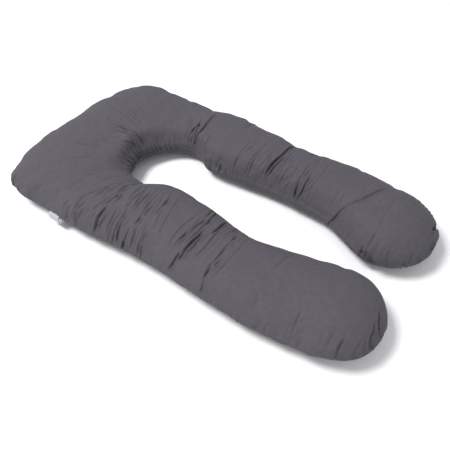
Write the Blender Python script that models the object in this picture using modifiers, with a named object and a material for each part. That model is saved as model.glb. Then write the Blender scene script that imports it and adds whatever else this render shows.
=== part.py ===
"""U-shaped pregnancy pillow lying flat: one filled cloth cushion and the blank tag sewn in its seam.

Metres, +Z up. +X runs from the closed head end to the ends of the two legs, and +Y from the front
leg to the rear leg. The origin lies on the surface under the pillow, at the middle of its box.
The tables below give X from the head end, and Y from the line between the legs.

A place on the cloth has a run and a girth. Run is the distance along the pillow's middle line from
the end of the front leg, round the head end, to the end of the rear leg. Girth goes round a
section: 0 is the inner seam, 0.5 the crown and 1 the outer seam. Below the seams it passes 0 and 1.
"""

import math
from typing import NamedTuple

import bmesh
import bpy
import numpy as np

# Driving sizes of the filled pillow
SEAM_SHARE = 0.45           # height of the seam, as a share of the crown
FLAT_SHARE = 0.32           # half-width of the flat underside, as a share of the section's half-width
TOP_POWER = 2.1             # 2 is an ellipse over the top, and more is squarer
FRONT_END_LENGTH = 0.155    # length of each leg's rounded end
REAR_END_LENGTH = 0.160
FRONT_END_DRIFT = 0.005     # how far the rounded end wanders off its leg's line, in Y
REAR_END_DRIFT = -0.010
SEAM_PROUD = 0.0025         # how far the sewn edge stands out of the cloth beside it
SEAM_BAND = 0.035           # girth on each side of the seam that its ridge takes in
UNDERSIDE_GIRTH = 0.4       # girth from a seam down to the flat underside
FLOOR_CLEARANCE = 0.006     # folds fade out at this height, so the underside stays flat

# Mesh steps
PLAIN_STEP = 0.024          # spacing of the sections where the cloth is smooth
FOLDED_STEP = 0.0085        # and where it is creased
END_STEPS = 12              # sections in each rounded end
TOP_STEPS = 15              # points over the top, from seam to seam
SIDE_STEPS = 3              # points from a seam down to the flat underside
FOLD_SAMPLES = 40           # points read along each fold

# Blank tag: a ribbon folded in two, with both ends caught in the outer seam near the head end
TAG_RUN = 1.025             # middle of the tag
TAG_WIDTH = 0.050
TAG_LAYER = 0.0010          # thickness of the ribbon
TAG_LAYER_GAP = 0.0006      # between its two layers
TAG_OUT = 0.007             # how far it stands out before it hangs down
TAG_BEND = 0.005            # radius of its turn down
TAG_DROP = 0.027            # from the seam to its folded edge
TAG_TURN_STEPS = 5
TAG_ACROSS_STEPS = 6
SEWING_GAP = 0.0006         # between the seam and the tag's ends


class Section(NamedTuple):
    """One section across the pillow, from its inner edge to its outer edge in plan."""

    place: str
    inner_x: float
    inner_y: float
    outer_x: float
    outer_y: float
    crown: float


class Fold(NamedTuple):
    """One crease in the cloth, from its start to its end."""

    place: str
    start_run: float
    start_girth: float
    end_run: float
    end_girth: float
    depth: float
    width: float


SECTIONS = (
    Section("front leg, end", 1.300, -0.050, 1.300, -0.365, 0.150),
    Section("front leg, calf", 1.135, -0.085, 1.135, -0.385, 0.150),
    Section("front leg, middle", 0.955, -0.115, 0.955, -0.385, 0.150),
    Section("front leg, thigh", 0.765, -0.080, 0.765, -0.375, 0.150),
    Section("front leg, neck", 0.585, -0.085, 0.580, -0.385, 0.145),
    Section("front shoulder", 0.545, -0.115, 0.470, -0.395, 0.135),
    Section("front bay", 0.520, -0.110, 0.305, -0.395, 0.125),
    Section("front corner", 0.430, -0.090, 0.080, -0.365, 0.130),
    Section("front of the head end", 0.415, -0.050, 0.005, -0.175, 0.135),
    Section("middle of the head end", 0.405, -0.005, 0.000, 0.005, 0.135),
    Section("rear of the head end", 0.415, 0.035, 0.005, 0.185, 0.135),
    Section("rear corner", 0.445, 0.085, 0.065, 0.355, 0.130),
    Section("rear bay", 0.500, 0.125, 0.295, 0.400, 0.125),
    Section("rear shoulder", 0.560, 0.130, 0.470, 0.385, 0.135),
    Section("rear leg, neck", 0.620, 0.095, 0.590, 0.405, 0.145),
    Section("rear leg, thigh", 0.765, 0.105, 0.765, 0.375, 0.150),
    Section("rear leg, middle", 0.955, 0.115, 0.955, 0.360, 0.150),
    Section("rear leg, calf", 1.135, 0.100, 1.135, 0.380, 0.150),
    Section("rear leg, end", 1.300, 0.030, 1.300, 0.365, 0.150),
)
LEVEL_AT_ENDS = (1, 0, 1, 0, 0)     # which columns of a section keep their slope where a leg ends

FOLDS = (
    Fold("front leg end, by the tip", 0.040, 0.37, 0.004, 0.60, 0.006, 0.007),
    Fold("front leg end, below the tip", 0.034, 0.49, 0.010, 0.88, 0.005, 0.007),
    Fold("front leg end, outer side", 0.080, 0.74, 0.075, 1.06, 0.006, 0.008),
    Fold("front leg, outer side", 0.208, 0.68, 0.200, 0.90, 0.003, 0.012),
    Fold("front knee, outer side", 0.485, 0.60, 0.494, 0.95, 0.006, 0.009),
    Fold("front knee, inner side", 0.565, 0.22, 0.565, 0.46, 0.005, 0.009),
    Fold("front knee, main crease", 0.592, 0.48, 0.602, 0.78, 0.009, 0.009),
    Fold("front knee, above the main crease", 0.618, 0.22, 0.635, 0.62, 0.007, 0.008),
    Fold("front knee, below the main crease", 0.607, 0.72, 0.624, 0.94, 0.007, 0.008),
    Fold("front shoulder, first", 0.753, 0.74, 0.748, 0.94, 0.004, 0.009),
    Fold("front shoulder, second", 0.788, 0.50, 0.803, 0.76, 0.005, 0.009),
    Fold("front shoulder, third", 0.812, 0.74, 0.818, 1.04, 0.006, 0.009),
    Fold("front shoulder, fourth", 0.862, 0.50, 0.842, 0.92, 0.006, 0.009),
    Fold("front shoulder, fifth", 0.968, 0.36, 0.924, 0.56, 0.006, 0.009),
    Fold("front shoulder, sixth", 0.920, 0.60, 0.903, 1.03, 0.007, 0.009),
    Fold("front shoulder, seventh", 1.020, 0.38, 0.974, 0.60, 0.004, 0.009),
    Fold("front corner, by the tag", 1.012, 0.60, 0.960, 1.02, 0.006, 0.010),
    Fold("head end, corner pucker", 1.192, 0.80, 1.182, 1.06, 0.005, 0.009),
    Fold("rear bend, first inside", 1.330, 0.24, 1.350, -0.10, 0.004, 0.009),
    Fold("rear bend, second inside", 1.399, 0.29, 1.470, 0.10, 0.005, 0.009),
    Fold("rear bend, third inside", 1.475, 0.46, 1.545, 0.14, 0.005, 0.009),
    Fold("rear bay, first", 1.930, 0.44, 1.876, 0.20, 0.006, 0.008),
    Fold("rear bay, second", 1.976, 0.60, 1.896, 0.08, 0.007, 0.009),
    Fold("rear thigh, main crease", 2.312, 0.70, 2.300, 0.16, 0.009, 0.009),
    Fold("rear knee, first", 2.428, 0.50, 2.419, 0.02, 0.007, 0.008),
    Fold("rear knee, second", 2.447, 0.36, 2.440, 0.06, 0.006, 0.008),
    Fold("rear calf, slanted crease", 2.678, 0.62, 2.568, -0.06, 0.007, 0.010),
    Fold("rear leg end, hollow inside", 2.714, 0.04, 2.775, -0.10, 0.008, 0.018),
    Fold("rear leg end, pucker below", 2.850, 0.06, 2.852, -0.25, 0.005, 0.009),
    Fold("rear leg end, by the tip", 2.895, 0.52, 2.899, 0.30, 0.006, 0.008),
)


def hermite(knots, rows, where):
    """Rows read from a smooth curve through the given rows, at the places named in where."""
    slopes = np.gradient(rows, knots, axis=0)
    slopes[[0, -1]] *= LEVEL_AT_ENDS
    at = np.clip(np.searchsorted(knots, where, side="right") - 1, 0, len(knots) - 2)
    span = (knots[at + 1] - knots[at])[:, None]
    t = (where - knots[at])[:, None] / span
    start_weight = 2 * t**3 - 3 * t**2 + 1
    start_slope_weight = t**3 - 2 * t**2 + t
    end_slope_weight = t**3 - t**2
    return (
        start_weight * rows[at]
        + start_slope_weight * span * slopes[at]
        + (1 - start_weight) * rows[at + 1]
        + end_slope_weight * span * slopes[at + 1]
    )


def stations(length):
    """Places of the sections along the body, close together where the cloth is creased."""
    places = [0.0]
    while places[-1] < length:
        run = places[-1] + FRONT_END_LENGTH
        near = any(
            min(fold.start_run, fold.end_run) - 3 * fold.width < run
            and run < max(fold.start_run, fold.end_run) + 2 * fold.width
            for fold in FOLDS
        )
        places.append(places[-1] + (FOLDED_STEP if near else PLAIN_STEP))
    return np.array(places) * length / places[-1]


def rounded_end(section, length, drift):
    """Sections that close a leg, from its last full section out to a point on the seam."""
    inner, outer, crown = section[0:2], section[2:4], section[4]
    middle, half = (inner + outer) / 2, (outer - inner) / 2
    rows = []
    for step in range(1, END_STEPS + 1):
        turn = math.pi / 2 * step / END_STEPS
        out, full = math.sin(turn), math.cos(turn)
        centre = middle + np.array([length * out, drift * out**2])
        rows.append([*(centre - half * full), *(centre + half * full), crown, full])
    rows[-1][-1] = 0
    return rows


def sections_along():
    """Every section of the pillow in order, one row each: inner x, y, outer x, y, crown, fullness."""
    table = np.array([row[1:] for row in SECTIONS])
    middles = (table[:, 0:2] + table[:, 2:4]) / 2
    chords = np.linalg.norm(np.diff(middles, axis=0), axis=1)
    knots = np.concatenate([[0], np.cumsum(chords)])
    smooth = hermite(knots, table, stations(knots[-1]))
    front = rounded_end(smooth[0], FRONT_END_LENGTH, FRONT_END_DRIFT)
    rear = rounded_end(smooth[-1], REAR_END_LENGTH, REAR_END_DRIFT)
    body = [[*row, 1.0] for row in smooth]
    return np.array(front[::-1] + body + rear)


def ring():
    """Points round one section, from the inner seam over the top and back under: side, height, girth.

    side runs from -1 at the inner edge to 1 at the outer edge, and height from 0 to 1 at the crown.
    """
    girth = np.linspace(0, 1, TOP_STEPS + 1)
    across, rise = -np.cos(math.pi * girth), np.sin(math.pi * girth)
    side = np.sign(across) * np.abs(across) ** (2 / TOP_POWER)
    height = SEAM_SHARE + (1 - SEAM_SHARE) * np.maximum(rise, 0) ** (2 / TOP_POWER)
    down = np.arange(1, SIDE_STEPS + 1) / SIDE_STEPS
    low_side = FLAT_SHARE + (1 - FLAT_SHARE) * np.cos(math.pi / 2 * down)
    low_height = SEAM_SHARE * (1 - np.sin(math.pi / 2 * down))
    low_girth = UNDERSIDE_GIRTH * down
    return (
        np.concatenate([side, low_side, -low_side[::-1]]),
        np.concatenate([height, low_height, low_height[::-1]]),
        np.concatenate([girth, 1 + low_girth, -low_girth[::-1]]),
    )


def smooth_skin():
    """The cloth before its folds: points by section and place on the ring, with their run and girth."""
    rows = sections_along()
    side, height, girth = ring()
    middle = (rows[:, 0:2] + rows[:, 2:4]) / 2
    half = (rows[:, 2:4] - rows[:, 0:2]) / 2
    crown, full = rows[:, 4:5], rows[:, 5:6]
    points = np.empty((len(rows), len(side), 3))
    points[..., 0:2] = middle[:, None] + half[:, None] * side[None, :, None]
    points[..., 2] = crown * (SEAM_SHARE + (height - SEAM_SHARE) * full)
    steps = np.linalg.norm(np.diff(middle, axis=0), axis=1)
    run = np.concatenate([[0], np.cumsum(steps)])
    return points, run, girth


def outward(points):
    """Unit normals of the skin, pointing out of the filling."""
    along = np.gradient(points, axis=0)
    round_it = np.roll(points, -1, axis=1) - np.roll(points, 1, axis=1)
    normal = np.cross(along, round_it)
    length = np.linalg.norm(normal, axis=2, keepdims=True)
    return normal / np.maximum(length, 1e-9)


def bell(x):
    """1 at 0, fading to nothing by about 2 on each side."""
    return np.exp(-x * x)


def fold_line(fold, points, run, girth):
    """Points along a fold, on the smooth skin."""
    order = np.argsort(girth)
    share = np.linspace(0, 1, FOLD_SAMPLES)
    runs = fold.start_run + (fold.end_run - fold.start_run) * share
    girths = fold.start_girth + (fold.end_girth - fold.start_girth) * share
    row = np.interp(runs, run, np.arange(len(run)))
    place = np.interp(girths, girth[order], np.arange(len(girth)))
    row_below = np.minimum(row.astype(int), len(run) - 2)
    place_below = np.minimum(place.astype(int), len(girth) - 2)
    past_row = (row - row_below)[:, None]
    past_place = (place - place_below)[:, None]
    sorted_points = points[:, order]
    here = (1 - past_place) * sorted_points[row_below, place_below]
    here += past_place * sorted_points[row_below, place_below + 1]
    after = (1 - past_place) * sorted_points[row_below + 1, place_below]
    after += past_place * sorted_points[row_below + 1, place_below + 1]
    return (1 - past_row) * here + past_row * after


def fold_push(fold, points, run, girth):
    """How far one crease moves each point along its normal: a trough between two soft lips."""
    line = fold_line(fold, points, run, girth)
    distance = np.linalg.norm(points[:, :, None] - line, axis=3)
    share = distance.argmin(axis=2) / (FOLD_SAMPLES - 1)
    fade = 1 - (2 * share - 1) ** 4
    across = distance.min(axis=2) / fold.width
    return fold.depth * fade * (0.4 * bell(across - 2) - bell(across))


def skin():
    """The cloth with its seam ridge and folds, and the run of its sections."""
    points, run, girth = smooth_skin()
    from_seam = np.minimum(np.abs(girth), np.abs(girth - 1))
    push = np.zeros(points.shape[:2]) - SEAM_PROUD * (1 - bell(from_seam / SEAM_BAND))
    for fold in FOLDS:
        push += fold_push(fold, points, run, girth)
    clear = np.clip(points[..., 2] / FLOOR_CLEARANCE - 1, 0, 1)
    points = points + outward(points) * (push * clear)[..., None]
    points[..., 2] = np.maximum(points[..., 2], 0)
    return points, run


def fabric(name, colour, roughness):
    """A plain cloth finish."""
    material = bpy.data.materials.new(name)
    material.use_nodes = True
    surface = material.node_tree.nodes["Principled BSDF"]
    surface.inputs["Base Color"].default_value = (*colour, 1)
    surface.inputs["Roughness"].default_value = roughness
    surface.inputs["Metallic"].default_value = 0.0
    return material


def grid_object(name, points, finish, collection):
    """An object whose mesh is a flat grid, moved to the given rows and columns of points."""
    rows, columns = points.shape[:2]
    cloth = bmesh.new()
    bmesh.ops.create_grid(cloth, x_segments=columns - 1, y_segments=rows - 1, size=1)
    for vertex, position in zip(cloth.verts, points.reshape(-1, 3)):
        vertex.co = position
    bmesh.ops.remove_doubles(cloth, verts=cloth.verts, dist=0.00005)
    bmesh.ops.recalc_face_normals(cloth, faces=cloth.faces)
    mesh = bpy.data.meshes.new(name)
    cloth.to_mesh(mesh)
    cloth.free()
    mesh.shade_smooth()
    mesh.materials.append(finish)
    thing = bpy.data.objects.new(name, mesh)
    collection.objects.link(thing)
    return thing


def make_pillow(points, collection):
    """Wraps a grid of cloth round the filling, and closes it along the inner seam and at both tips."""
    wrapped = np.concatenate([points, points[:, :1]], axis=1)
    finish = fabric("grey_polycotton", (0.135, 0.128, 0.145), 0.75)
    return grid_object("pillow", wrapped, finish, collection)


def tag_profile():
    """The folded ribbon seen from its side: steps out from the seam and up, one layer out, one back."""
    apart = (TAG_LAYER + TAG_LAYER_GAP) / 2
    turns = [math.pi / 2 * step / TAG_TURN_STEPS for step in range(TAG_TURN_STEPS + 1)]
    middle = [(SEWING_GAP, 0, 0)]
    for turn in turns:
        out = TAG_OUT - TAG_BEND * (1 - math.sin(turn))
        middle.append((out, TAG_BEND * (math.cos(turn) - 1), turn))
    hem_up = apart - TAG_DROP
    middle.append((TAG_OUT, hem_up, math.pi / 2))
    outer = [(out + apart * math.sin(turn), up + apart * math.cos(turn)) for out, up, turn in middle]
    inner = [(out - apart * math.sin(turn), up - apart * math.cos(turn)) for out, up, turn in middle]
    hem = []
    for turn in turns[1:-1]:
        hem.append((TAG_OUT + apart * math.cos(2 * turn), hem_up - apart * math.sin(2 * turn)))
    return np.array(outer + hem + inner[::-1])


def tag_points(points, run):
    """The ribbon's middle surface, one row for each step along the seam that holds it."""
    seam = points[:, TOP_STEPS]
    steps = np.linalg.norm(np.diff(seam, axis=0), axis=1)
    length = np.concatenate([[0], np.cumsum(steps)])
    middle = np.interp(TAG_RUN, run, length)
    where = np.linspace(middle - TAG_WIDTH / 2, middle + TAG_WIDTH / 2, TAG_ACROSS_STEPS + 1)
    edge = np.stack([np.interp(where, length, seam[:, axis]) for axis in range(3)], axis=1)
    along = edge[-1] - edge[0]
    out_of_seam = np.array([-along[1], along[0], 0]) / math.hypot(along[0], along[1])
    profile = tag_profile()
    rows = edge[:, None] + profile[None, :, 0:1] * out_of_seam
    rows[..., 2] += profile[None, :, 1]
    return rows


def make_tag(points, collection):
    """The blank ribbon tag, given its thickness."""
    tag = grid_object("tag", points, fabric("white_ribbon", (0.65, 0.67, 0.70), 0.45), collection)
    thicken = tag.modifiers.new("ribbon_thickness", "SOLIDIFY")
    thicken.thickness = TAG_LAYER
    thicken.offset = 0
    thicken.use_even_offset = True
    return tag


def main():
    for item in list(bpy.data.objects):
        bpy.data.objects.remove(item)
    collection = bpy.data.collections.new("pregnancy_pillow")
    bpy.context.scene.collection.children.link(collection)
    cloth, run = skin()
    ribbon = tag_points(cloth, run)
    low, high = cloth.min(axis=(0, 1)), cloth.max(axis=(0, 1))
    origin = np.array([(low[0] + high[0]) / 2, (low[1] + high[1]) / 2, 0])
    make_pillow(cloth - origin, collection)
    make_tag(ribbon - origin, collection)


main()
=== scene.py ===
"""Looks of a U-shaped pregnancy pillow that lies flat, with its blank tag, on a pale studio floor.

Metres, +Z up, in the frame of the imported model: +X runs from the closed head end to the ends of the
two legs, and +Y from the front leg, which has the tag, to the rear leg.

A place on the cloth has a run and a girth. Run is the distance along the pillow's middle line from
the end of the front leg, round the head end, to the end of the rear leg. Girth goes round a
section: 0 is the inner seam, 0.5 the crown and 1 the outer seam. Below the seams it passes 0 and 1.
"""

import logging
import math
from dataclasses import dataclass, field
from enum import Enum
from typing import Any, Optional

import bmesh
import bpy
import numpy as np
from mathutils import Matrix, Vector

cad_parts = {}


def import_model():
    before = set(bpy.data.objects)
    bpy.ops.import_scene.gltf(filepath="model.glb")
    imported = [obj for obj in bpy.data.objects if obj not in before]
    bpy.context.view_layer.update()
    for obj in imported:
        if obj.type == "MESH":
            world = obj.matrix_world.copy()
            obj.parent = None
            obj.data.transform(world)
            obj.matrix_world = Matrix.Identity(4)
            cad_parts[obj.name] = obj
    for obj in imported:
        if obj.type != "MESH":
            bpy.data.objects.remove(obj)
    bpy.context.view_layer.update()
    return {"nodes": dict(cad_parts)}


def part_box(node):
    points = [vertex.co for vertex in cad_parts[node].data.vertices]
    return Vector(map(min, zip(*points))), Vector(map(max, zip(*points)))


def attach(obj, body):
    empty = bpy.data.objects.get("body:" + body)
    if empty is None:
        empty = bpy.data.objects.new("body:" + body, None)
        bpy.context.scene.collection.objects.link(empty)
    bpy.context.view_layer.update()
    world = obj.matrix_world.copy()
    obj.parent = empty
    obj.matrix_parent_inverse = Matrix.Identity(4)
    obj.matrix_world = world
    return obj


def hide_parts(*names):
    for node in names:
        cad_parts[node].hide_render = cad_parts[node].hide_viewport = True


frame: dict[str, Any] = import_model()

logging.basicConfig(level=logging.INFO, format="%(message)s")
LOG = logging.getLogger("pregnancy_pillow")

BODY = "root"
ORIGIN = Vector((0.729, 0.004, 0.0))    # the frame's origin, counted as in the sections
MERGE_DISTANCE = 0.00002


class Node(Enum):
    """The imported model's nodes."""

    PILLOW = "pillow"
    TAG = "tag"


class Slot(Enum):
    """The record's material slots."""

    COVER = "cover"
    TAG = "tag"


class Seam(Enum):
    """The two long seams, by their girth."""

    INNER = 0.0
    OUTER = 1.0


@dataclass(frozen=True)
class Section:
    """One section across the pillow, from its inner edge to its outer edge in plan.

    X is counted from the head end, and Y from the line between the legs.
    """

    place: str
    inner_x: float
    inner_y: float
    outer_x: float
    outer_y: float
    crown: float


@dataclass(frozen=True)
class Crease:
    """One crease in the cloth: a narrow trough between two soft lips."""

    place: str
    start_run: float
    start_girth: float
    end_run: float
    end_girth: float
    depth: float
    width: float
    bow: float = 0.0    # how far its middle strays along the run


@dataclass(frozen=True)
class CreaseFan:
    """Many fine creases side by side, spread evenly and then jittered."""

    place: str
    count: int
    first_run: float
    last_run: float
    start_girth: float
    end_girth: float
    lean: float         # how much further along the run a crease ends than it starts
    depth: float
    width: float


@dataclass(frozen=True)
class Swell:
    """A place where the cloth stands out or, with a height below 0, is drawn in."""

    place: str
    run: float
    girth: float
    run_reach: float
    girth_reach: float
    height: float


SECTIONS = (
    Section("front leg, end", 1.300, -0.050, 1.300, -0.365, 0.150),
    Section("front leg, calf", 1.135, -0.085, 1.135, -0.385, 0.150),
    Section("front leg, middle", 0.955, -0.115, 0.955, -0.385, 0.150),
    Section("front leg, thigh", 0.765, -0.080, 0.765, -0.375, 0.150),
    Section("front leg, neck", 0.585, -0.085, 0.580, -0.385, 0.145),
    Section("front shoulder", 0.545, -0.115, 0.470, -0.395, 0.135),
    Section("front bay", 0.520, -0.110, 0.305, -0.395, 0.125),
    Section("front corner", 0.430, -0.090, 0.080, -0.365, 0.130),
    Section("front of the head end", 0.415, -0.050, 0.005, -0.175, 0.135),
    Section("middle of the head end", 0.405, -0.005, 0.000, 0.005, 0.135),
    Section("rear of the head end", 0.415, 0.035, 0.005, 0.185, 0.135),
    Section("rear corner", 0.445, 0.085, 0.065, 0.355, 0.130),
    Section("rear bay", 0.500, 0.125, 0.295, 0.400, 0.125),
    Section("rear shoulder", 0.560, 0.130, 0.470, 0.385, 0.135),
    Section("rear leg, neck", 0.620, 0.095, 0.590, 0.405, 0.145),
    Section("rear leg, thigh", 0.765, 0.105, 0.765, 0.375, 0.150),
    Section("rear leg, middle", 0.955, 0.115, 0.955, 0.360, 0.150),
    Section("rear leg, calf", 1.135, 0.100, 1.135, 0.380, 0.150),
    Section("rear leg, end", 1.300, 0.030, 1.300, 0.365, 0.150),
)

CREASES = (
    Crease("front leg end, by the tip", 0.040, 0.37, 0.004, 0.60, 0.0070, 0.0026),
    Crease("front leg end, below the tip", 0.034, 0.49, 0.010, 0.88, 0.0055, 0.0026),
    Crease("front leg end, outer side", 0.080, 0.72, 0.075, 1.08, 0.0060, 0.0030),
    Crease("front leg end, underside pucker", 0.036, 0.84, 0.034, 1.08, 0.0030, 0.0030),
    Crease("front leg, outer side", 0.208, 0.68, 0.200, 0.90, 0.0020, 0.0030),
    Crease("front leg, faint on the crown", 0.333, 0.28, 0.338, 0.50, 0.0018, 0.0060),
    Crease("front knee, outer side", 0.493, 0.76, 0.493, 0.96, 0.0035, 0.0030),
    Crease("front knee, outer crown", 0.482, 0.56, 0.503, 0.80, 0.0045, 0.0028),
    Crease("front knee, outer crown, second", 0.472, 0.60, 0.490, 0.74, 0.0025, 0.0026),
    Crease("front knee, inner side", 0.565, 0.22, 0.565, 0.46, 0.0050, 0.0030),
    Crease("front knee, inner side, second", 0.552, 0.30, 0.556, 0.56, 0.0020, 0.0026),
    Crease("front knee, main crease", 0.592, 0.47, 0.602, 0.80, 0.0085, 0.0032),
    Crease("front knee, beside the main crease", 0.578, 0.50, 0.586, 0.72, 0.0035, 0.0026),
    Crease("front knee, above the main crease", 0.617, 0.40, 0.634, 0.64, 0.0055, 0.0028),
    Crease("front knee, inner crown", 0.619, 0.20, 0.606, 0.42, 0.0050, 0.0028),
    Crease("front knee, inner crown, second", 0.636, 0.22, 0.628, 0.40, 0.0030, 0.0026),
    Crease("front knee, below the main crease", 0.607, 0.70, 0.624, 0.94, 0.0060, 0.0028),
    Crease("front shoulder, first", 0.753, 0.74, 0.748, 0.96, 0.0025, 0.0030),
    Crease("front shoulder, second", 0.790, 0.50, 0.803, 0.76, 0.0030, 0.0030),
    Crease("front shoulder, third", 0.811, 0.74, 0.818, 1.06, 0.0045, 0.0030),
    Crease("front shoulder, fourth", 0.864, 0.48, 0.842, 0.94, 0.0042, 0.0028, -0.006),
    Crease("front shoulder, beside the fourth", 0.842, 0.42, 0.833, 0.64, 0.0030, 0.0026),
    Crease("front shoulder, fifth", 0.970, 0.35, 0.922, 0.56, 0.0055, 0.0029),
    Crease("front shoulder, sixth", 0.918, 0.60, 0.903, 1.04, 0.0038, 0.0028, 0.006),
    Crease("front shoulder, seventh", 1.020, 0.38, 0.972, 0.62, 0.0030, 0.0036),
    Crease("front shoulder, eighth", 1.060, 0.40, 1.020, 0.58, 0.0015, 0.0030),
    Crease("front corner, by the tag", 1.012, 0.58, 0.961, 1.02, 0.0045, 0.0029, -0.006),
    Crease("front corner, long and faint", 1.086, 0.50, 1.046, 0.68, 0.0022, 0.0090),
    Crease("head end, corner pucker", 1.192, 0.80, 1.182, 1.06, 0.0045, 0.0036),
    Crease("head end, second corner pucker", 1.160, 0.90, 1.152, 1.08, 0.0025, 0.0030),
    Crease("rear bend, long and faint", 1.395, 0.46, 1.420, 0.30, 0.0025, 0.0040),
    Crease("rear bend, first", 1.399, 0.29, 1.466, 0.20, 0.0080, 0.0028),
    Crease("rear bend, second", 1.458, 0.40, 1.490, 0.24, 0.0080, 0.0030),
    Crease("rear bend, third", 1.475, 0.46, 1.545, 0.15, 0.0085, 0.0032),
    Crease("rear bay, first", 1.930, 0.44, 1.876, 0.20, 0.0075, 0.0028),
    Crease("rear bay, second", 1.972, 0.66, 1.896, 0.08, 0.0060, 0.0028, 0.018),
    Crease("rear thigh, main crease", 2.312, 0.70, 2.302, 0.18, 0.0090, 0.0032),
    Crease("rear thigh, beside the main crease", 2.330, 0.50, 2.307, 0.14, 0.0035, 0.0026),
    Crease("rear thigh, before the main crease", 2.276, 0.46, 2.272, 0.22, 0.0020, 0.0030),
    Crease("rear knee, first", 2.430, 0.50, 2.420, 0.01, 0.0060, 0.0028),
    Crease("rear knee, second", 2.446, 0.36, 2.440, 0.05, 0.0055, 0.0026),
    Crease("rear knee, third", 2.462, 0.42, 2.452, 0.22, 0.0020, 0.0026),
    Crease("rear calf, slanted crease, inner part", 2.608, 0.30, 2.568, -0.08, 0.0065, 0.0028, -0.004),
    Crease("rear calf, slanted crease, outer part", 2.690, 0.66, 2.604, 0.27, 0.0055, 0.0030),
    Crease("rear calf, faint on the crown", 2.760, 0.72, 2.752, 0.56, 0.0015, 0.0030),
    Crease("rear leg end, hollow inside", 2.712, 0.04, 2.790, -0.10, 0.0080, 0.0100),
    Crease("rear leg end, pucker below", 2.850, 0.08, 2.852, -0.25, 0.0045, 0.0036),
    Crease("rear leg end, outer pucker", 2.846, 0.76, 2.840, 1.04, 0.0035, 0.0030),
    Crease("rear leg end, by the tip", 2.893, 0.50, 2.899, 0.30, 0.0075, 0.0030),
    Crease("rear leg end, above the tip", 2.872, 0.58, 2.886, 1.00, 0.0070, 0.0038),
)

CREASE_FANS = (
    CreaseFan("front knee", 16, 0.465, 0.650, 0.26, 0.78, 0.014, 0.0026, 0.0026),
    CreaseFan("front shoulder, crown", 26, 0.760, 1.010, 0.32, 0.72, -0.032, 0.0026, 0.0026),
    CreaseFan("front shoulder, outer side", 26, 0.750, 1.010, 0.62, 1.04, -0.012, 0.0030, 0.0026),
    CreaseFan("inner bend, front", 12, 0.960, 1.220, 0.20, 0.50, -0.024, 0.0016, 0.0030),
    CreaseFan("inner bend, corner of the wall", 12, 1.270, 1.480, 0.30, -0.06, 0.022, 0.0038, 0.0030),
    CreaseFan("inner bend, rest of the wall", 12, 1.490, 1.750, 0.24, -0.10, 0.012, 0.0018, 0.0032),
    CreaseFan("inner bend, rear crown", 16, 1.320, 1.620, 0.56, 0.24, 0.034, 0.0022, 0.0028),
    CreaseFan("head end, crown", 8, 1.120, 1.420, 0.62, 0.30, 0.030, 0.0014, 0.0060),
    CreaseFan("rear bay", 12, 1.850, 2.020, 0.54, 0.08, -0.030, 0.0024, 0.0028),
    CreaseFan("rear thigh", 18, 2.180, 2.480, 0.62, 0.06, -0.010, 0.0022, 0.0028),
    CreaseFan("rear inner wall, by the bay", 9, 2.020, 2.170, 0.16, -0.10, 0.000, 0.0026, 0.0030),
    CreaseFan("rear calf", 6, 2.560, 2.720, 0.60, 0.10, -0.050, 0.0012, 0.0030),
    CreaseFan("front leg end", 10, 0.006, 0.130, 0.64, 1.04, -0.006, 0.0017, 0.0028),
    CreaseFan("front leg, outer side", 6, 0.140, 0.300, 0.80, 1.02, -0.006, 0.0009, 0.0030),
    CreaseFan("rear leg end", 9, 2.780, 2.896, 0.58, 1.04, 0.006, 0.0013, 0.0035),
    CreaseFan("rear leg end, inner side", 12, 2.720, 2.890, 0.30, -0.10, 0.004, 0.0026, 0.0030),
)

SWELLS = (
    Swell("inner bend, shoulder", 1.470, 0.27, 0.230, 0.070, 0.0180),
    Swell("inner bend, wall", 1.480, -0.02, 0.250, 0.130, -0.0170),
    Swell("inner bend, flatter seam", 1.480, 0.00, 0.300, 0.025, -0.0020),
    Swell("rear bay, shoulder", 1.850, 0.26, 0.170, 0.075, 0.0120),
    Swell("rear bay, wall", 1.830, -0.02, 0.170, 0.130, -0.0150),
    Swell("rear leg, shoulder", 2.350, 0.26, 0.300, 0.070, 0.0050),
    Swell("rear leg, wall", 2.350, 0.02, 0.300, 0.120, -0.0040),
    Swell("rear thigh, outer swell", 2.225, 0.92, 0.055, 0.250, 0.0080),
    Swell("rear thigh, outer dip", 2.314, 0.92, 0.020, 0.250, -0.0090),
    Swell("rear knee, outer shoulder", 2.435, 0.76, 0.030, 0.150, 0.0040),
    Swell("rear calf, inner side", 2.625, -0.12, 0.060, 0.120, 0.0050),
    Swell("rear calf, outer shoulder", 2.590, 0.80, 0.060, 0.150, -0.0035),
    Swell("rear leg end, outer shoulder", 2.790, 0.80, 0.040, 0.180, -0.0040),
    Swell("rear leg end, notch above the tip", 2.879, 0.72, 0.005, 0.200, -0.0080),
    Swell("rear leg end, tip bump", 2.894, 0.86, 0.005, 0.150, 0.0040),
    Swell("rear leg end, notch below the tip", 2.898, 0.40, 0.005, 0.120, -0.0100),
    Swell("front leg, inner shoulder", 0.310, 0.15, 0.060, 0.120, 0.0040),
    Swell("front knee, inner shoulder", 0.565, 0.17, 0.075, 0.120, 0.0055),
    Swell("front thigh, inner shoulder", 0.740, 0.15, 0.030, 0.120, 0.0045),
    Swell("front bay, inner shoulder", 0.890, 0.18, 0.040, 0.120, -0.0040),
    Swell("front leg end, outer side", 0.095, 1.05, 0.040, 0.150, -0.0055),
    Swell("front leg, outer side", 0.235, 1.10, 0.030, 0.150, 0.0040),
    Swell("outer seam, beside the tag", 0.965, 1.00, 0.022, 0.150, 0.0040),
    Swell("head end, notch before the corner", 1.170, 0.98, 0.020, 0.200, -0.0090),
    Swell("head end, corner bump", 1.206, 0.98, 0.012, 0.120, -0.0020),
    Swell("head end, past the corner bump", 1.240, 0.88, 0.020, 0.200, -0.0050),
)


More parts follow.
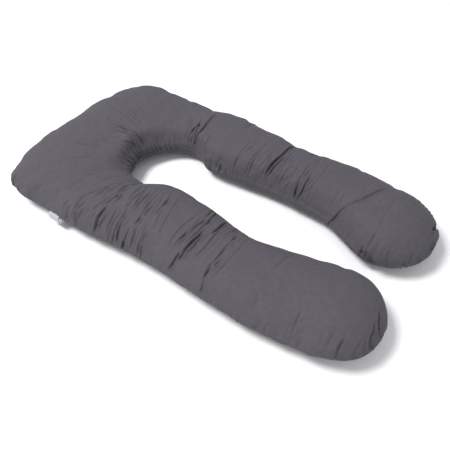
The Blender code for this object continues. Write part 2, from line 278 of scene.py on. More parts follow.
def linear(colour: str) -> tuple[float, float, float, float]:
    """Turns an sRGB colour into the linear values that shaders take.

    Args:
        colour: The colour as six hex digits after a hash mark.

    Returns:
        Linear red, green and blue, and an alpha of 1.
    """
    channels = [int(colour[at:at + 2], 16) / 255 for at in (1, 3, 5)]
    values = [c / 12.92 if c <= 0.04045 else ((c + 0.055) / 1.055) ** 2.4 for c in channels]
    return (values[0], values[1], values[2], 1.0)


def add_node(tree: bpy.types.NodeTree, kind: str, settings: Optional[dict[str, Any]] = None,
             inputs: Optional[dict[str, Any]] = None) -> bpy.types.Node:
    """Adds a node, with its settings and its sockets' values or links.

    Args:
        tree: The node tree that gets the node.
        kind: The node's type, such as ShaderNodeBump.
        settings: The node's own properties, by name.
        inputs: Values or source sockets, by the name or number of the socket that takes them.

    Returns:
        The new node.
    """
    node = tree.nodes.new(kind)
    for name, value in (settings or {}).items():
        setattr(node, name, value)
    for name, value in (inputs or {}).items():
        if isinstance(value, bpy.types.NodeSocket):
            tree.links.new(value, node.inputs[name])
        else:
            node.inputs[name].default_value = value
    return node


def new_tree(name: str) -> tuple[bpy.types.Material, bpy.types.NodeTree]:
    """Makes a material with an empty node tree.

    Args:
        name: The material's name.

    Returns:
        The material and its node tree.
    """
    material = bpy.data.materials.new(name)
    material.use_nodes = True
    material.node_tree.nodes.clear()
    return material, material.node_tree


@dataclass(frozen=True)
class BrushedPolycotton:
    """Plain-woven polyester and cotton sheeting, dyed mid grey and lightly brushed.

    The brushing raises a short nap, so the cloth looks matt, a little lighter at grazing angles, and
    faintly mottled where the nap lies differently.
    """

    colour: str = "#47454a"
    worn_colour: str = "#555358"
    mottle_size: float = 0.016      # patches where the nap lies another way
    thread_spacing: float = 0.0016  # four times the real 0.4 mm, so that it can show at all
    weave_height: float = 0.00012
    slub_size: float = 0.006        # thicker stretches of yarn
    nap_height: float = 0.0011
    roughness: float = 0.85
    sheen: float = 0.05
    sheen_roughness: float = 0.45

    def material(self) -> bpy.types.Material:
        """Builds the cloth's shader.

        Returns:
            The material.
        """
        material, tree = new_tree("brushed_polycotton_grey")
        place = add_node(tree, "ShaderNodeTexCoord")
        mottle = add_node(tree, "ShaderNodeTexNoise", inputs={
            "Vector": place.outputs["Object"], "Scale": 1 / self.mottle_size, "Detail": 4.0,
            "Roughness": 0.6})
        tone = add_node(tree, "ShaderNodeMix", {"data_type": "RGBA"}, {
            "Factor": mottle.outputs["Fac"], 6: linear(self.colour), 7: linear(self.worn_colour)})
        threads = 2 * math.pi / (20 * self.thread_spacing)
        warp = add_node(tree, "ShaderNodeTexWave", {"bands_direction": "X"}, {
            "Vector": place.outputs["UV"], "Scale": threads, "Distortion": 0.6, "Detail": 1.0})
        weft = add_node(tree, "ShaderNodeTexWave", {"bands_direction": "Y"}, {
            "Vector": place.outputs["UV"], "Scale": threads, "Distortion": 0.6, "Detail": 1.0})
        weave = add_node(tree, "ShaderNodeMath", {"operation": "MULTIPLY"}, {
            0: warp.outputs["Fac"], 1: weft.outputs["Fac"]})
        slub = add_node(tree, "ShaderNodeTexNoise", inputs={
            "Vector": place.outputs["Object"], "Scale": 1 / self.slub_size, "Detail": 3.0,
            "Roughness": 0.55})
        nap = add_node(tree, "ShaderNodeBump", inputs={
            "Strength": 0.8, "Distance": self.nap_height, "Height": slub.outputs["Fac"]})
        relief = add_node(tree, "ShaderNodeBump", inputs={
            "Strength": 0.5, "Distance": self.weave_height, "Height": weave.outputs["Value"],
            "Normal": nap.outputs["Normal"]})
        surface = add_node(tree, "ShaderNodeBsdfPrincipled", inputs={
            "Base Color": tone.outputs[2], "Roughness": self.roughness, "Specular IOR Level": 0.25,
            "Sheen Weight": self.sheen, "Sheen Roughness": self.sheen_roughness,
            "Sheen Tint": linear("#d8d6de"), "Normal": relief.outputs["Normal"]})
        add_node(tree, "ShaderNodeOutputMaterial", inputs={"Surface": surface.outputs["BSDF"]})
        return material


@dataclass(frozen=True)
class SatinRibbon:
    """White woven polyester satin ribbon, whose long floats give a soft gloss along the tag."""

    colour: str = "#a9adb4"
    shadow_colour: str = "#9fa3aa"
    float_spacing: float = 0.0012   # three times the real 0.4 mm, so that it can show at all
    float_height: float = 0.00005
    roughness: float = 0.42

    def material(self) -> bpy.types.Material:
        """Builds the ribbon's shader.

        Returns:
            The material.
        """
        material, tree = new_tree("woven_satin_ribbon_white")
        place = add_node(tree, "ShaderNodeTexCoord")
        floats = add_node(tree, "ShaderNodeTexWave", {"bands_direction": "Y"}, {
            "Vector": place.outputs["UV"], "Scale": 2 * math.pi / (20 * self.float_spacing),
            "Distortion": 0.4})
        tone = add_node(tree, "ShaderNodeMix", {"data_type": "RGBA"}, {
            "Factor": floats.outputs["Fac"], 6: linear(self.shadow_colour), 7: linear(self.colour)})
        relief = add_node(tree, "ShaderNodeBump", inputs={
            "Strength": 0.4, "Distance": self.float_height, "Height": floats.outputs["Fac"]})
        surface = add_node(tree, "ShaderNodeBsdfPrincipled", inputs={
            "Base Color": tone.outputs[2], "Roughness": self.roughness, "Sheen Weight": 0.1,
            "Normal": relief.outputs["Normal"]})
        add_node(tree, "ShaderNodeOutputMaterial", inputs={"Surface": surface.outputs["BSDF"]})
        return material


@dataclass(frozen=True)
class MattBackdropPaper:
    """White seamless backdrop paper, whose uncoated surface shows no gloss."""

    colour: str = "#f4f4f5"
    grain_size: float = 0.002
    roughness: float = 0.95

    def material(self) -> bpy.types.Material:
        """Builds the paper's shader.

        Returns:
            The material.
        """
        material, tree = new_tree("matt_backdrop_paper")
        place = add_node(tree, "ShaderNodeTexCoord")
        grain = add_node(tree, "ShaderNodeTexNoise", inputs={
            "Vector": place.outputs["Object"], "Scale": 1 / self.grain_size})
        relief = add_node(tree, "ShaderNodeBump", inputs={
            "Strength": 0.1, "Distance": 0.0001, "Height": grain.outputs["Fac"]})
        surface = add_node(tree, "ShaderNodeBsdfPrincipled", inputs={
            "Base Color": linear(self.colour), "Roughness": self.roughness, "Specular IOR Level": 0.1,
            "Normal": relief.outputs["Normal"]})
        add_node(tree, "ShaderNodeOutputMaterial", inputs={"Surface": surface.outputs["BSDF"]})
        return material


def bell(x: np.ndarray) -> np.ndarray:
    """1 at 0, fading to nothing by about 2 on each side."""
    return np.exp(-x * x)


def hermite(knots: np.ndarray, rows: np.ndarray, slopes: np.ndarray, where: np.ndarray) -> np.ndarray:
    """Reads rows from a smooth curve through the given rows.

    Args:
        knots: The place of each given row along the curve.
        rows: The given rows.
        slopes: How fast each row's values change there.
        where: The places to read.

    Returns:
        One row for each place in where.
    """
    at = np.clip(np.searchsorted(knots, where, side="right") - 1, 0, len(knots) - 2)
    span = (knots[at + 1] - knots[at])[:, None]
    t = (where - knots[at])[:, None] / span
    start_weight = 2 * t**3 - 3 * t**2 + 1
    start_slope_weight = t**3 - 2 * t**2 + t
    end_slope_weight = t**3 - t**2
    return (start_weight * rows[at] + start_slope_weight * span * slopes[at]
            + (1 - start_weight) * rows[at + 1] + end_slope_weight * span * slopes[at + 1])


def wander(where: np.ndarray, step: float, rng: np.random.Generator) -> np.ndarray:
    """A smooth random line, between about -1 and 1.

    Args:
        where: The places to read, in metres.
        step: The distance between its turns, in metres.
        rng: The source of its heights.

    Returns:
        Its height at each place.
    """
    count = int(np.ptp(where) / step) + 4
    heights = rng.uniform(-1, 1, (count, 1))
    knots = (np.arange(count) - 1) * step + where.min()
    slopes = np.gradient(heights, knots, axis=0)
    return hermite(knots, heights, slopes, where.ravel())[:, 0].reshape(where.shape)


def ripples(points: np.ndarray, shortest: float, longest: float, rng: np.random.Generator) -> np.ndarray:
    """Smooth random waves in every direction, mostly between -1 and 1.

    Args:
        points: Where to read them.
        shortest: The shortest wave's length.
        longest: The longest wave's length.
        rng: The source of the waves.

    Returns:
        Their height at each point.
    """
    count = 24
    total = np.zeros(points.shape[:-1])
    for _ in range(count):
        wave = rng.normal(0, 1, 3)
        wave *= 2 * math.pi / rng.uniform(shortest, longest) / np.linalg.norm(wave)
        total += np.sin(points @ wave + rng.uniform(0, 2 * math.pi))
    return total / math.sqrt(2 * count)


@dataclass
class Cloth:
    """A skin of cloth: points by section and by place round it, with the run and girth of each."""

    points: np.ndarray
    run: np.ndarray
    girth: np.ndarray

    def outward(self) -> np.ndarray:
        """Unit normals of the skin, pointing out of the filling."""
        along = np.gradient(self.points, axis=0)
        round_it = np.roll(self.points, -1, axis=1) - np.roll(self.points, 1, axis=1)
        normal = np.cross(along, round_it)
        return normal / np.maximum(np.linalg.norm(normal, axis=2, keepdims=True), 1e-9)

    def at(self, runs: np.ndarray, girths: np.ndarray) -> np.ndarray:
        """Reads points of the skin between its own.

        Args:
            runs: The run of each wanted point.
            girths: The girth of each wanted point.

        Returns:
            The points, one row each.
        """
        order = np.argsort(self.girth)
        ordered = self.points[:, order]
        row = np.interp(runs, self.run, np.arange(len(self.run)))
        place = np.interp(girths, self.girth[order], np.arange(len(order)))
        row_below = np.minimum(row.astype(int), len(self.run) - 2)
        place_below = np.minimum(place.astype(int), len(order) - 2)
        past_row = (row - row_below)[:, None]
        past_place = (place - place_below)[:, None]
        here = ((1 - past_place) * ordered[row_below, place_below]
                + past_place * ordered[row_below, place_below + 1])
        after = ((1 - past_place) * ordered[row_below + 1, place_below]
                 + past_place * ordered[row_below + 1, place_below + 1])
        return (1 - past_row) * here + past_row * after


@dataclass
class Inflation:
    """Cloth simulation that blows up a coarse copy of the cover, with its seams and underside held."""

    along_step: int = 4                 # rows of the fine cloth for each row of the copy
    around_step: int = 1
    frames: int = 20
    quality: int = 5
    pressure: float = 4.0
    spare_cloth: float = 0.02           # how much larger the cloth is than the filling needs
    stretch_stiffness: float = 12.0
    shear_stiffness: float = 4.0
    bending_stiffness: float = 0.05
    cloth_mass: float = 0.2
    furthest: float = 0.004             # no point moves more than this

    def copy_of(self, cloth: Cloth, rows: np.ndarray, places: np.ndarray) -> bpy.types.Object:
        """Makes the coarse copy, open at the two tips.

        Args:
            cloth: The fine cloth.
            rows: The rows that the copy takes.
            places: The places round each section that it takes.

        Returns:
            The copy's object, whose held points are in the vertex group "held".
        """
        points = cloth.points[np.ix_(rows, places)]
        count = len(places)
        faces = []
        for row in range(len(rows) - 1):
            for place in range(count):
                after = (place + 1) % count
                faces.append((row * count + place, (row + 1) * count + place,
                              (row + 1) * count + after, row * count + after))
        mesh = bpy.data.meshes.new("inflated_copy")
        mesh.from_pydata(points.reshape(-1, 3).tolist(), [], faces)
        copy = bpy.data.objects.new("inflated_copy", mesh)
        bpy.context.scene.collection.objects.link(copy)
        girth = cloth.girth[places]
        held = (girth <= 0) | (girth >= 1)
        tips = (0, len(rows) - 1)
        group = copy.vertex_groups.new(name="held")
        group.add([row * count + place for row in range(len(rows)) for place in range(count)
                   if held[place] or row in tips], 1.0, "REPLACE")
        return copy

    def run(self, cloth: Cloth) -> Cloth:
        """Runs the simulation and brings its movement back to the fine cloth.

        Args:
            cloth: The fine cloth.

        Returns:
            The fine cloth, blown up.
        """
        last = len(cloth.run) - 3
        rows = np.unique(np.append(np.arange(2, last + 1, self.along_step), last))
        places = np.arange(0, len(cloth.girth), self.around_step)
        copy = self.copy_of(cloth, rows, places)
        modifier = copy.modifiers.new("inflate", "CLOTH")
        settings = modifier.settings
        settings.quality = self.quality
        settings.mass = self.cloth_mass
        settings.tension_stiffness = self.stretch_stiffness
        settings.compression_stiffness = self.stretch_stiffness
        settings.shear_stiffness = self.shear_stiffness
        settings.bending_stiffness = self.bending_stiffness
        settings.use_pressure = True
        settings.uniform_pressure_force = self.pressure
        settings.shrink_min = -self.spare_cloth
        settings.vertex_group_mass = "held"
        settings.effector_weights.gravity = 0
        modifier.point_cache.frame_start = 1
        modifier.point_cache.frame_end = self.frames
        for number in range(1, self.frames + 1):
            bpy.context.scene.frame_set(number)
        evaluated = copy.evaluated_get(bpy.context.evaluated_depsgraph_get())
        settled = bpy.data.meshes.new_from_object(evaluated)
        moved = np.empty(len(settled.vertices) * 3)
        settled.vertices.foreach_get("co", moved)
        coarse = moved.reshape(len(rows), len(places), 3) - cloth.points[np.ix_(rows, places)]
        bpy.data.objects.remove(copy)
        bpy.data.meshes.remove(settled)
        bpy.context.scene.frame_set(1)
        length = np.linalg.norm(coarse, axis=2, keepdims=True)
        LOG.info("inflation: %.1f mm on average, %.1f mm at most, before the limit",
                 1000 * length.mean(), 1000 * length.max())
        coarse *= np.minimum(1, self.furthest / np.maximum(length, 1e-9))
        return Cloth(cloth.points + self.spread(coarse, rows, places, cloth), cloth.run, cloth.girth)

    def spread(self, coarse: np.ndarray, rows: np.ndarray, places: np.ndarray,
               cloth: Cloth) -> np.ndarray:
        """Spreads the copy's movement over the fine cloth.

        Args:
            coarse: The movement of each point of the copy.
            rows: The rows that the copy took.
            places: The places round each section that it took.
            cloth: The fine cloth.

        Returns:
            The movement of each point of the fine cloth.
        """
        row = np.interp(np.arange(len(cloth.run)), rows, np.arange(len(rows)))
        closed = np.append(places, len(cloth.girth))
        place = np.interp(np.arange(len(cloth.girth)), closed, np.arange(len(closed)))
        wrapped = np.concatenate([coarse, coarse[:, :1]], axis=1)
        row_below = np.minimum(row.astype(int), len(rows) - 2)
        place_below = np.minimum(place.astype(int), len(places) - 1)
        past_row = (row - row_below)[:, None, None]
        past_place = (place - place_below)[None, :, None]
        here = (1 - past_row) * wrapped[row_below] + past_row * wrapped[row_below + 1]
        spread = (1 - past_place) * here[:, place_below] + past_place * here[:, place_below + 1]
        from_tip = np.minimum(np.arange(len(row)), np.arange(len(row))[::-1])
        tip_fade = np.clip(from_tip / rows[0] - 1, 0, 1)
        return spread * tip_fade[:, None, None]


@dataclass
class FilledPillow:
    """The filled cover: its sizes, its shape before and after creasing, and its finish."""

    seam_share: float = 0.45            # height of the seam, as a share of the crown
    flat_share: float = 0.32            # half-width of the flat underside, as a share of the half-width
    top_power: float = 2.1              # 2 is an ellipse over the top, and more is squarer
    front_end_length: float = 0.155
    rear_end_length: float = 0.160
    front_end_drift: float = 0.005
    rear_end_drift: float = -0.010
    seam_proud: float = 0.0018
    seam_band: float = 0.030
    underside_girth: float = 0.4
    floor_clearance: float = 0.006
    plain_step: float = 0.0035
    creased_step: float = 0.0022
    end_steps: int = 46
    top_steps: int = 64
    side_steps: int = 8
    core_share: float = 0.86            # the narrow part of a crease's trough, as a share of its depth
    lip_share: float = 0.40             # height of a crease's lips, as a share of its depth
    lip_place: float = 2.1              # a lip's distance from the crease, in crease widths
    lip_width: float = 1.1
    core_power: float = 1.35            # 1 is a sharp fold, and 2 a rounded one
    dip_width: float = 2.6              # half-width of the soft part of a trough, in crease widths
    crease_reach: float = 6.0           # how far out a crease is felt, in crease widths
    crease_samples: int = 60
    crease_wander: float = 0.0022
    crease_turn: float = 0.22           # spacing of a crease's small bends, as a share of its length
    strength_change: float = 0.25
    strength_turn: float = 0.20
    crease_gain: float = 1.50           # the cloth's folds are this much deeper than the solid's
    lump_height: float = 0.0024         # uneven filling
    lump_lengths: tuple[float, float] = (0.09, 0.26)
    ripple_height: float = 0.0010       # slack in the cloth
    ripple_lengths: tuple[float, float] = (0.036, 0.080)
    pucker_height: float = 0.0011       # small gathers along the seams
    pucker_step: float = 0.018
    pucker_reach: float = 0.09
    pucker_change: float = 0.40         # how much the gathers' height changes along a seam
    pucker_change_step: float = 0.12
    pucker_flat: float = 0.60           # how much flatter the gathers are right at the stitches
    pucker_flat_reach: float = 0.018
    fan_run_jitter: float = 0.010
    fan_bow: float = 0.007
    fan_reach: tuple[float, float] = (0.35, 1.0)        # a crease's part of its fan's girth
    fan_lean: tuple[float, float] = (-0.2, 2.2)         # the rest are shares of the fan's values
    fan_depth: tuple[float, float] = (0.4, 1.3)
    fan_width: tuple[float, float] = (0.8, 1.4)
    seed: int = 7
    finish: BrushedPolycotton = field(default_factory=BrushedPolycotton)
    inflation: Inflation = field(default_factory=Inflation)

    def creases(self) -> list[Crease]:
        """Every crease: those placed one by one, and those spread in fans.

        Returns:
            The creases.
        """
        rng = np.random.default_rng(self.seed)
        found = list(CREASES)
        for fan in CREASE_FANS:
            for share in np.linspace(0, 1, fan.count):
                run = fan.first_run + (fan.last_run - fan.first_run) * share
                run += rng.uniform(-self.fan_run_jitter, self.fan_run_jitter)
                reach = rng.uniform(*self.fan_reach)
                slide = rng.uniform(0, 1 - reach)
                start = fan.start_girth + (fan.end_girth - fan.start_girth) * slide
                end = start + (fan.end_girth - fan.start_girth) * reach
                lean = fan.lean * reach * rng.uniform(*self.fan_lean)
                depth = fan.depth * rng.uniform(*self.fan_depth)
                width = fan.width * rng.uniform(*self.fan_width)
                bow = rng.uniform(-self.fan_bow, self.fan_bow)
                found.append(Crease(fan.place, run, start, run + lean, end, depth, width, bow))
        return found

    def stations(self, length: float, creases: list[Crease]) -> np.ndarray:
        """Places of the sections along the body, close together where the cloth is creased.

        Args:
            length: The body's length along its middle line.
            creases: The creases.

        Returns:
            The places, from 0 to length.
        """
        places = [0.0]
        while places[-1] < length:
            run = places[-1] + self.front_end_length
            near = any(min(crease.start_run, crease.end_run) - 3 * crease.width < run
                       < max(crease.start_run, crease.end_run) + 3 * crease.width for crease in creases)
            places.append(places[-1] + (self.creased_step if near else self.plain_step))
        return np.array(places) * length / places[-1]

    def rounded_end(self, section: np.ndarray, length: float, drift: float) -> list[list[float]]:
        """Sections that close a leg, from its last full section out to a point on the seam.

        Args:
            section: The last full section.
            length: The rounded end's length.
            drift: How far it wanders off its leg's line, in Y.

        Returns:
            The sections, with how full each is in the last column.
        """
        inner, outer, crown = section[0:2], section[2:4], section[4]
        middle, half = (inner + outer) / 2, (outer - inner) / 2
        rows = []
        for step in range(1, self.end_steps + 1):
            turn = math.pi / 2 * step / self.end_steps
            out, full = math.sin(turn), math.cos(turn)
            centre = middle + np.array([length * out, drift * out**2])
            rows.append([*(centre - half * full), *(centre + half * full), crown, full])
        rows[-1][-1] = 0.0
        return rows

    def sections_along(self, creases: list[Crease]) -> np.ndarray:
        """Every section of the pillow in order: inner x, y, outer x, y, crown, fullness.

        Args:
            creases: The creases, which say where sections lie close together.

        Returns:
            One row for each section.
        """
        table = np.array([[s.inner_x, s.inner_y, s.outer_x, s.outer_y, s.crown] for s in SECTIONS])
        middles = (table[:, 0:2] + table[:, 2:4]) / 2
        knots = np.concatenate([[0], np.cumsum(np.linalg.norm(np.diff(middles, axis=0), axis=1))])
        slopes = np.gradient(table, knots, axis=0)
        slopes[[0, -1]] *= (1, 0, 1, 0, 0)
        smooth = hermite(knots, table, slopes, self.stations(knots[-1], creases))
        front = self.rounded_end(smooth[0], self.front_end_length, self.front_end_drift)
        rear = self.rounded_end(smooth[-1], self.rear_end_length, self.rear_end_drift)
        return np.array(front[::-1] + [[*row, 1.0] for row in smooth] + rear)

    def ring(self) -> tuple[np.ndarray, np.ndarray, np.ndarray]:
        """Points round one section, from the inner seam over the top and back under.

        Returns:
            The side of each, -1 at the inner edge and 1 at the outer edge, its height, 1 at the
            crown, and its girth.
        """
        girth = np.linspace(0, 1, self.top_steps + 1)
        across, rise = -np.cos(math.pi * girth), np.maximum(np.sin(math.pi * girth), 0)
        side = np.sign(across) * np.abs(across) ** (2 / self.top_power)
        height = self.seam_share + (1 - self.seam_share) * rise ** (2 / self.top_power)
        down = np.arange(1, self.side_steps + 1) / self.side_steps
        low_side = self.flat_share + (1 - self.flat_share) * np.cos(math.pi / 2 * down)
        low_height = self.seam_share * (1 - np.sin(math.pi / 2 * down))
        low_girth = self.underside_girth * down
        return (np.concatenate([side, low_side, -low_side[::-1]]),
                np.concatenate([height, low_height, low_height[::-1]]),
                np.concatenate([girth, 1 + low_girth, -low_girth[::-1]]))

    def smooth_cloth(self, creases: list[Crease]) -> Cloth:
        """The cloth before its seams and creases.

        Args:
            creases: The creases, which say where sections lie close together.

        Returns:
            The cloth, in the sections' own frame.
        """
        rows = self.sections_along(creases)
        side, height, girth = self.ring()
        middle = (rows[:, 0:2] + rows[:, 2:4]) / 2
        half = (rows[:, 2:4] - rows[:, 0:2]) / 2
        points = np.empty((len(rows), len(side), 3))
        points[..., 0:2] = middle[:, None] + half[:, None] * side[None, :, None]
        points[..., 2] = rows[:, 4:5] * (self.seam_share + (height - self.seam_share) * rows[:, 5:6])
        steps = np.linalg.norm(np.diff(middle, axis=0), axis=1)
        return Cloth(points, np.concatenate([[0], np.cumsum(steps)]), girth)

    def crease_push(self, crease: Crease, cloth: Cloth, rng: np.random.Generator,
                    push: np.ndarray) -> None:
        """Adds one crease to how far each point moves along its normal.

        Args:
            crease: The crease.
            cloth: The smooth cloth.
            rng: The source of its small wanderings.
            push: The movement of each point, which this adds to.
        """
        share = np.linspace(0, 1, self.crease_samples)
        runs = crease.start_run + (crease.end_run - crease.start_run) * share
        runs += 4 * crease.bow * share * (1 - share)
        runs += self.crease_wander * wander(share, self.crease_turn, rng)
        girths = crease.start_girth + (crease.end_girth - crease.start_girth) * share
        line = cloth.at(runs, girths)
        strength = 1 + self.strength_change * wander(share, self.strength_turn, rng)
        reach = self.crease_reach * crease.width
        low, high = line.min(0) - reach, line.max(0) + reach
        near = np.all((cloth.points > low) & (cloth.points < high), axis=2)
        if not near.any():
            return
        distance = np.linalg.norm(cloth.points[near][:, None] - line, axis=2)
        nearest = distance.argmin(axis=1)
        fade = (1 - (2 * share[nearest] - 1) ** 4) * strength[nearest]
        across = distance.min(axis=1) / crease.width
        core = np.exp(-across**self.core_power)
        trough = self.core_share * core + (1 - self.core_share) * bell(across / self.dip_width)
        lip = self.lip_share * bell((across - self.lip_place) / self.lip_width)
        push[near] += self.crease_gain * crease.depth * fade * (lip - trough)

    def puckers(self, cloth: Cloth, seam: Seam, rng: np.random.Generator) -> np.ndarray:
        """Small gathers where the stitching draws the cloth in along a seam.

        Args:
            cloth: The smooth cloth.
            seam: The seam.
            rng: The source of their spacing and height.

        Returns:
            How far each point moves along its normal.
        """
        edge = cloth.points[:, 0 if seam is Seam.INNER else self.top_steps]
        length = np.concatenate([[0], np.cumsum(np.linalg.norm(np.diff(edge, axis=0), axis=1))])
        height = wander(length, self.pucker_step, rng)
        height *= 1 - self.pucker_change + self.pucker_change * wander(length, self.pucker_change_step, rng)
        from_seam = np.abs(cloth.girth - seam.value)
        share = bell(from_seam / self.pucker_reach)
        share *= 1 - self.pucker_flat * bell(from_seam / self.pucker_flat_reach)
        return self.pucker_height * height[:, None] * share[None, :]

    def lumps(self, cloth: Cloth) -> np.ndarray:
        """Broad swells and hollows: the placed ones, and others where the filling is uneven.

        Args:
            cloth: The smooth cloth.

        Returns:
            How far each point moves along its normal.
        """
        rng = np.random.default_rng(self.seed + 1)
        total = self.lump_height * ripples(cloth.points, *self.lump_lengths, rng)
        total += self.ripple_height * ripples(cloth.points, *self.ripple_lengths, rng)
        for swell in SWELLS:
            along = bell((cloth.run - swell.run) / swell.run_reach)
            around = bell((cloth.girth - swell.girth) / swell.girth_reach)
            total += swell.height * along[:, None] * around
        return total

    def creased_cloth(self) -> Cloth:
        """The cloth with its seams, filling lumps, puckers and creases.

        Returns:
            The cloth, in the sections' own frame.
        """
        creases = self.creases()
        cloth = self.smooth_cloth(creases)
        cloth = self.inflation.run(cloth)
        rng = np.random.default_rng(self.seed + 2)
        from_seam = np.minimum(np.abs(cloth.girth), np.abs(cloth.girth - 1))
        push = np.zeros(cloth.points.shape[:2])
        push -= self.seam_proud * (1 - bell(from_seam / self.seam_band))
        gathers = self.puckers(cloth, Seam.INNER, rng) + self.puckers(cloth, Seam.OUTER, rng)
        push += self.lumps(cloth) + gathers
        for crease in creases:
            self.crease_push(crease, cloth, rng, push)
        clear = np.clip(cloth.points[..., 2] / self.floor_clearance - 1, 0, 1)
        points = cloth.points + cloth.outward() * (push * clear)[..., None]
        points[..., 2] = np.maximum(points[..., 2], 0)
        return Cloth(points, cloth.run, cloth.girth)

    def build(self, origin: Vector) -> tuple[bpy.types.Object, Cloth]:
        """Args:
            origin: The frame's origin in the sections' own frame.

        Returns:
            The pillow's object, and its cloth in the frame.
        """
        cloth = self.creased_cloth()
        cloth.points = cloth.points - np.array(origin)
        wrapped = np.concatenate([cloth.points, cloth.points[:, :1]], axis=1)
        around = np.linalg.norm(np.diff(wrapped, axis=1), axis=2).max(axis=0).cumsum()
        across = np.concatenate([[0], around])
        pillow = grid_object("filled_cover", wrapped, cloth.run, across, self.finish.material())
        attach(pillow, BODY)
        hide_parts(Node.PILLOW.value)
        LOG.info("%s: %d faces, %.3f m along its middle line", pillow.name,
                 len(pillow.data.polygons), cloth.run[-1])
        return pillow, cloth


def grid_object(name: str, points: np.ndarray, down: np.ndarray, across: np.ndarray,
                material: bpy.types.Material) -> bpy.types.Object:
    """Makes an object from a flat grid of cloth, moved to the given points.

    Args:
        name: The object's name.
        points: The points, by row and column.
        down: The flat cloth's length at each row, for the weave.
        across: The flat cloth's width at each column, for the weave.
        material: The finish.

    Returns:
        The object.
    """
    rows, columns = points.shape[:2]
    sheet = bmesh.new()
    bmesh.ops.create_grid(sheet, x_segments=columns - 1, y_segments=rows - 1, size=1, calc_uvs=False)
    sheet.verts.ensure_lookup_table()
    weave = sheet.loops.layers.uv.new("weave")
    for face in sheet.faces:
        for loop in face.loops:
            row, column = divmod(loop.vert.index, columns)
            loop[weave].uv = (across[column], down[row])
    for vertex, position in zip(sheet.verts, points.reshape(-1, 3)):
        vertex.co = position
    bmesh.ops.remove_doubles(sheet, verts=sheet.verts, dist=MERGE_DISTANCE)
    bmesh.ops.recalc_face_normals(sheet, faces=sheet.faces)
    mesh = bpy.data.meshes.new(name)
    sheet.to_mesh(mesh)
    sheet.free()
    mesh.shade_smooth()
    mesh.materials.append(material)
    thing = bpy.data.objects.new(name, mesh)
    bpy.context.scene.collection.objects.link(thing)
    return thing


@dataclass
class FoldedTag:
    """The blank ribbon tag: folded in two, its ends caught in the outer seam near the head end."""

    run: float = 1.025
    width: float = 0.050
    layer: float = 0.0007
    layer_gap: float = 0.0009
    out: float = 0.007
    bend: float = 0.005
    drop: float = 0.027
    sewing_gap: float = -0.004      # the ends run into the seam
    turn_steps: int = 10
    across_steps: int = 24
    straight_steps: int = 6
    curl: float = 0.0005            # how far its corners lift off its own plane
    finish: SatinRibbon = field(default_factory=SatinRibbon)

    def profile(self) -> np.ndarray:
        """The folded ribbon seen from its side, one layer out and one back.

        Returns:
            The distance of each point out from the seam, and up from it.
        """
        apart = (self.layer + self.layer_gap) / 2
        turns = [math.pi / 2 * step / self.turn_steps for step in range(self.turn_steps + 1)]
        middle = [(self.sewing_gap, 0.0, 0.0)]
        for turn in turns:
            out = self.out - self.bend * (1 - math.sin(turn))
            middle.append((out, self.bend * (math.cos(turn) - 1), turn))
        hem_up = apart - self.drop
        straight = np.linspace(-self.bend, hem_up, self.straight_steps + 1)[1:]
        middle += [(self.out, up, math.pi / 2) for up in straight]
        outer = [(out + apart * math.sin(turn), up + apart * math.cos(turn)) for out, up, turn in middle]
        inner = [(out - apart * math.sin(turn), up - apart * math.cos(turn)) for out, up, turn in middle]
        hem = [(self.out + apart * math.cos(2 * turn), hem_up - apart * math.sin(2 * turn))
               for turn in turns[1:-1]]
        return np.array(outer + hem + inner[::-1])

    def build(self, cloth: Cloth, seam_place: int, held_by: bpy.types.Object) -> bpy.types.Object:
        """Args:
            cloth: The pillow's cloth, whose outer seam holds the tag.
            seam_place: The place of that seam round a section.
            held_by: The pillow's object, which is not used.

        Returns:
            The tag's object.
        """
        seam = cloth.points[:, seam_place]
        length = np.concatenate([[0], np.cumsum(np.linalg.norm(np.diff(seam, axis=0), axis=1))])
        middle = np.interp(self.run, cloth.run, length)
        where = np.linspace(middle - self.width / 2, middle + self.width / 2, self.across_steps + 1)
        edge = np.stack([np.interp(where, length, seam[:, axis]) for axis in range(3)], axis=1)
        along = edge[-1] - edge[0]
        out_of_seam = np.array([-along[1], along[0], 0]) / math.hypot(along[0], along[1])
        profile = self.profile()
        rows = edge[:, None] + profile[None, :, 0:1] * out_of_seam
        rows[..., 2] += profile[None, :, 1]
        hang = np.clip(-profile[:, 1] / self.drop, 0, 1)
        share = np.linspace(-1, 1, self.across_steps + 1)
        lift = self.curl * (share**2)[:, None] * (hang**2)[None, :]
        rows += lift[..., None] * out_of_seam
        ribbon = np.concatenate([[0], np.cumsum(np.linalg.norm(np.diff(profile, axis=0), axis=1))])
        tag = grid_object("folded_ribbon_tag", rows, where - where[0], ribbon, self.finish.material())
        thicken = tag.modifiers.new("ribbon_thickness", "SOLIDIFY")
        thicken.thickness = self.layer
        thicken.offset = 0
        thicken.use_even_offset = True
        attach(tag, BODY)
        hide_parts(Node.TAG.value)
        LOG.info("%s: %.0f by %.0f mm of ribbon", tag.name, 1000 * self.width, 1000 * ribbon[-1])
        return tag


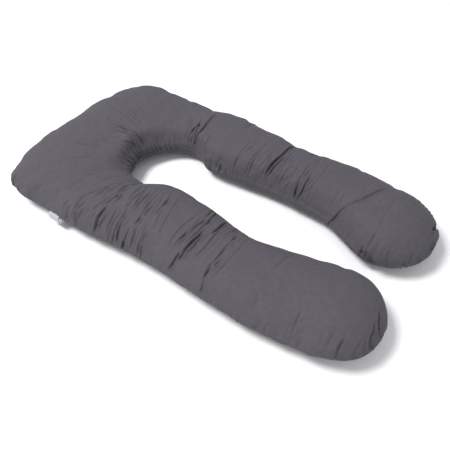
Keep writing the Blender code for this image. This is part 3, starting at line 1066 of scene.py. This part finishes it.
@dataclass
class Studio:
    """The pale floor, the soft light and the camera."""

    floor_size: float = 14.0
    sky_colour: str = "#fbfbff"
    sky_strength: float = 0.62
    key_place: tuple[float, float, float] = (-2.8, -2.4, 6.3)
    key_size: float = 2.4
    key_power: float = 505.0
    fill_place: tuple[float, float, float] = (1.25, -0.75, 0.90)
    fill_size: float = 0.8
    fill_power: float = 2.0
    camera_azimuth: float = 35.44
    camera_elevation: float = 46.88
    camera_distance: float = 1.640
    camera_target: tuple[float, float, float] = (0.1343, -0.1190, 0.0763)
    lens: float = 39.85
    sensor: float = 36.0

    def floor(self) -> None:
        """Lays the backdrop paper under the pillow."""
        bpy.ops.mesh.primitive_grid_add(x_subdivisions=8, y_subdivisions=8, size=self.floor_size)
        floor = bpy.context.object
        floor.name = "studio_floor"
        floor.data.materials.append(MattBackdropPaper().material())

    def lamp(self, name: str, place: tuple[float, float, float], size: float, power: float) -> None:
        """Hangs one soft square lamp that shines at the middle of the floor.

        Args:
            name: The lamp's name.
            place: Where it hangs.
            size: The length of its side.
            power: Its power, in watts.
        """
        lamp = bpy.data.lights.new(name, "AREA")
        lamp.shape = "SQUARE"
        lamp.size = size
        lamp.energy = power
        hung = bpy.data.objects.new(name, lamp)
        hung.location = place
        hung.rotation_euler = Vector(place).to_track_quat("Z", "Y").to_euler()
        bpy.context.scene.collection.objects.link(hung)

    def light(self) -> None:
        """Sets the even surrounding light, one large soft lamp and a weak one by the leg ends."""
        scene = bpy.context.scene
        world = bpy.data.worlds.new("studio_surround")
        world.use_nodes = True
        world.node_tree.nodes.clear()
        sky = add_node(world.node_tree, "ShaderNodeBackground", inputs={
            "Color": linear(self.sky_colour), "Strength": self.sky_strength})
        add_node(world.node_tree, "ShaderNodeOutputWorld", inputs={"Surface": sky.outputs["Background"]})
        scene.world = world
        scene.view_settings.view_transform = "Standard"
        self.lamp("soft_key", self.key_place, self.key_size, self.key_power)
        self.lamp("weak_fill", self.fill_place, self.fill_size, self.fill_power)

    def camera(self) -> None:
        """Places the camera at the photograph's viewing angle."""
        azimuth, elevation = math.radians(self.camera_azimuth), math.radians(self.camera_elevation)
        back = Vector((math.sin(azimuth) * math.cos(elevation), -math.cos(azimuth) * math.cos(elevation),
                       math.sin(elevation)))
        right = Vector((math.cos(azimuth), math.sin(azimuth), 0))
        up = back.cross(right)
        data = bpy.data.cameras.new("camera")
        data.lens = self.lens
        data.sensor_width = self.sensor
        view = bpy.data.objects.new("camera", data)
        place = Vector(self.camera_target) + back * self.camera_distance
        view.matrix_world = Matrix((
            (right.x, up.x, back.x, place.x), (right.y, up.y, back.y, place.y),
            (right.z, up.z, back.z, place.z), (0, 0, 0, 1)))
        bpy.context.scene.collection.objects.link(view)
        bpy.context.scene.camera = view

    def build(self) -> None:
        """Builds the whole studio."""
        self.floor()
        self.light()
        self.camera()
        LOG.info("studio: camera %.1f mm, %.2f m away", self.lens, self.camera_distance)


def main() -> None:
    """Builds the studio, the pillow and its tag, in that order."""
    Studio().build()
    low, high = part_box(Node.PILLOW.value)
    pillow = FilledPillow()
    cover, cloth = pillow.build(ORIGIN)
    FoldedTag().build(cloth, pillow.top_steps, cover)
    LOG.info("packed pillow: %s to %s", tuple(low), tuple(high))


if __name__ == "__main__":
    main()
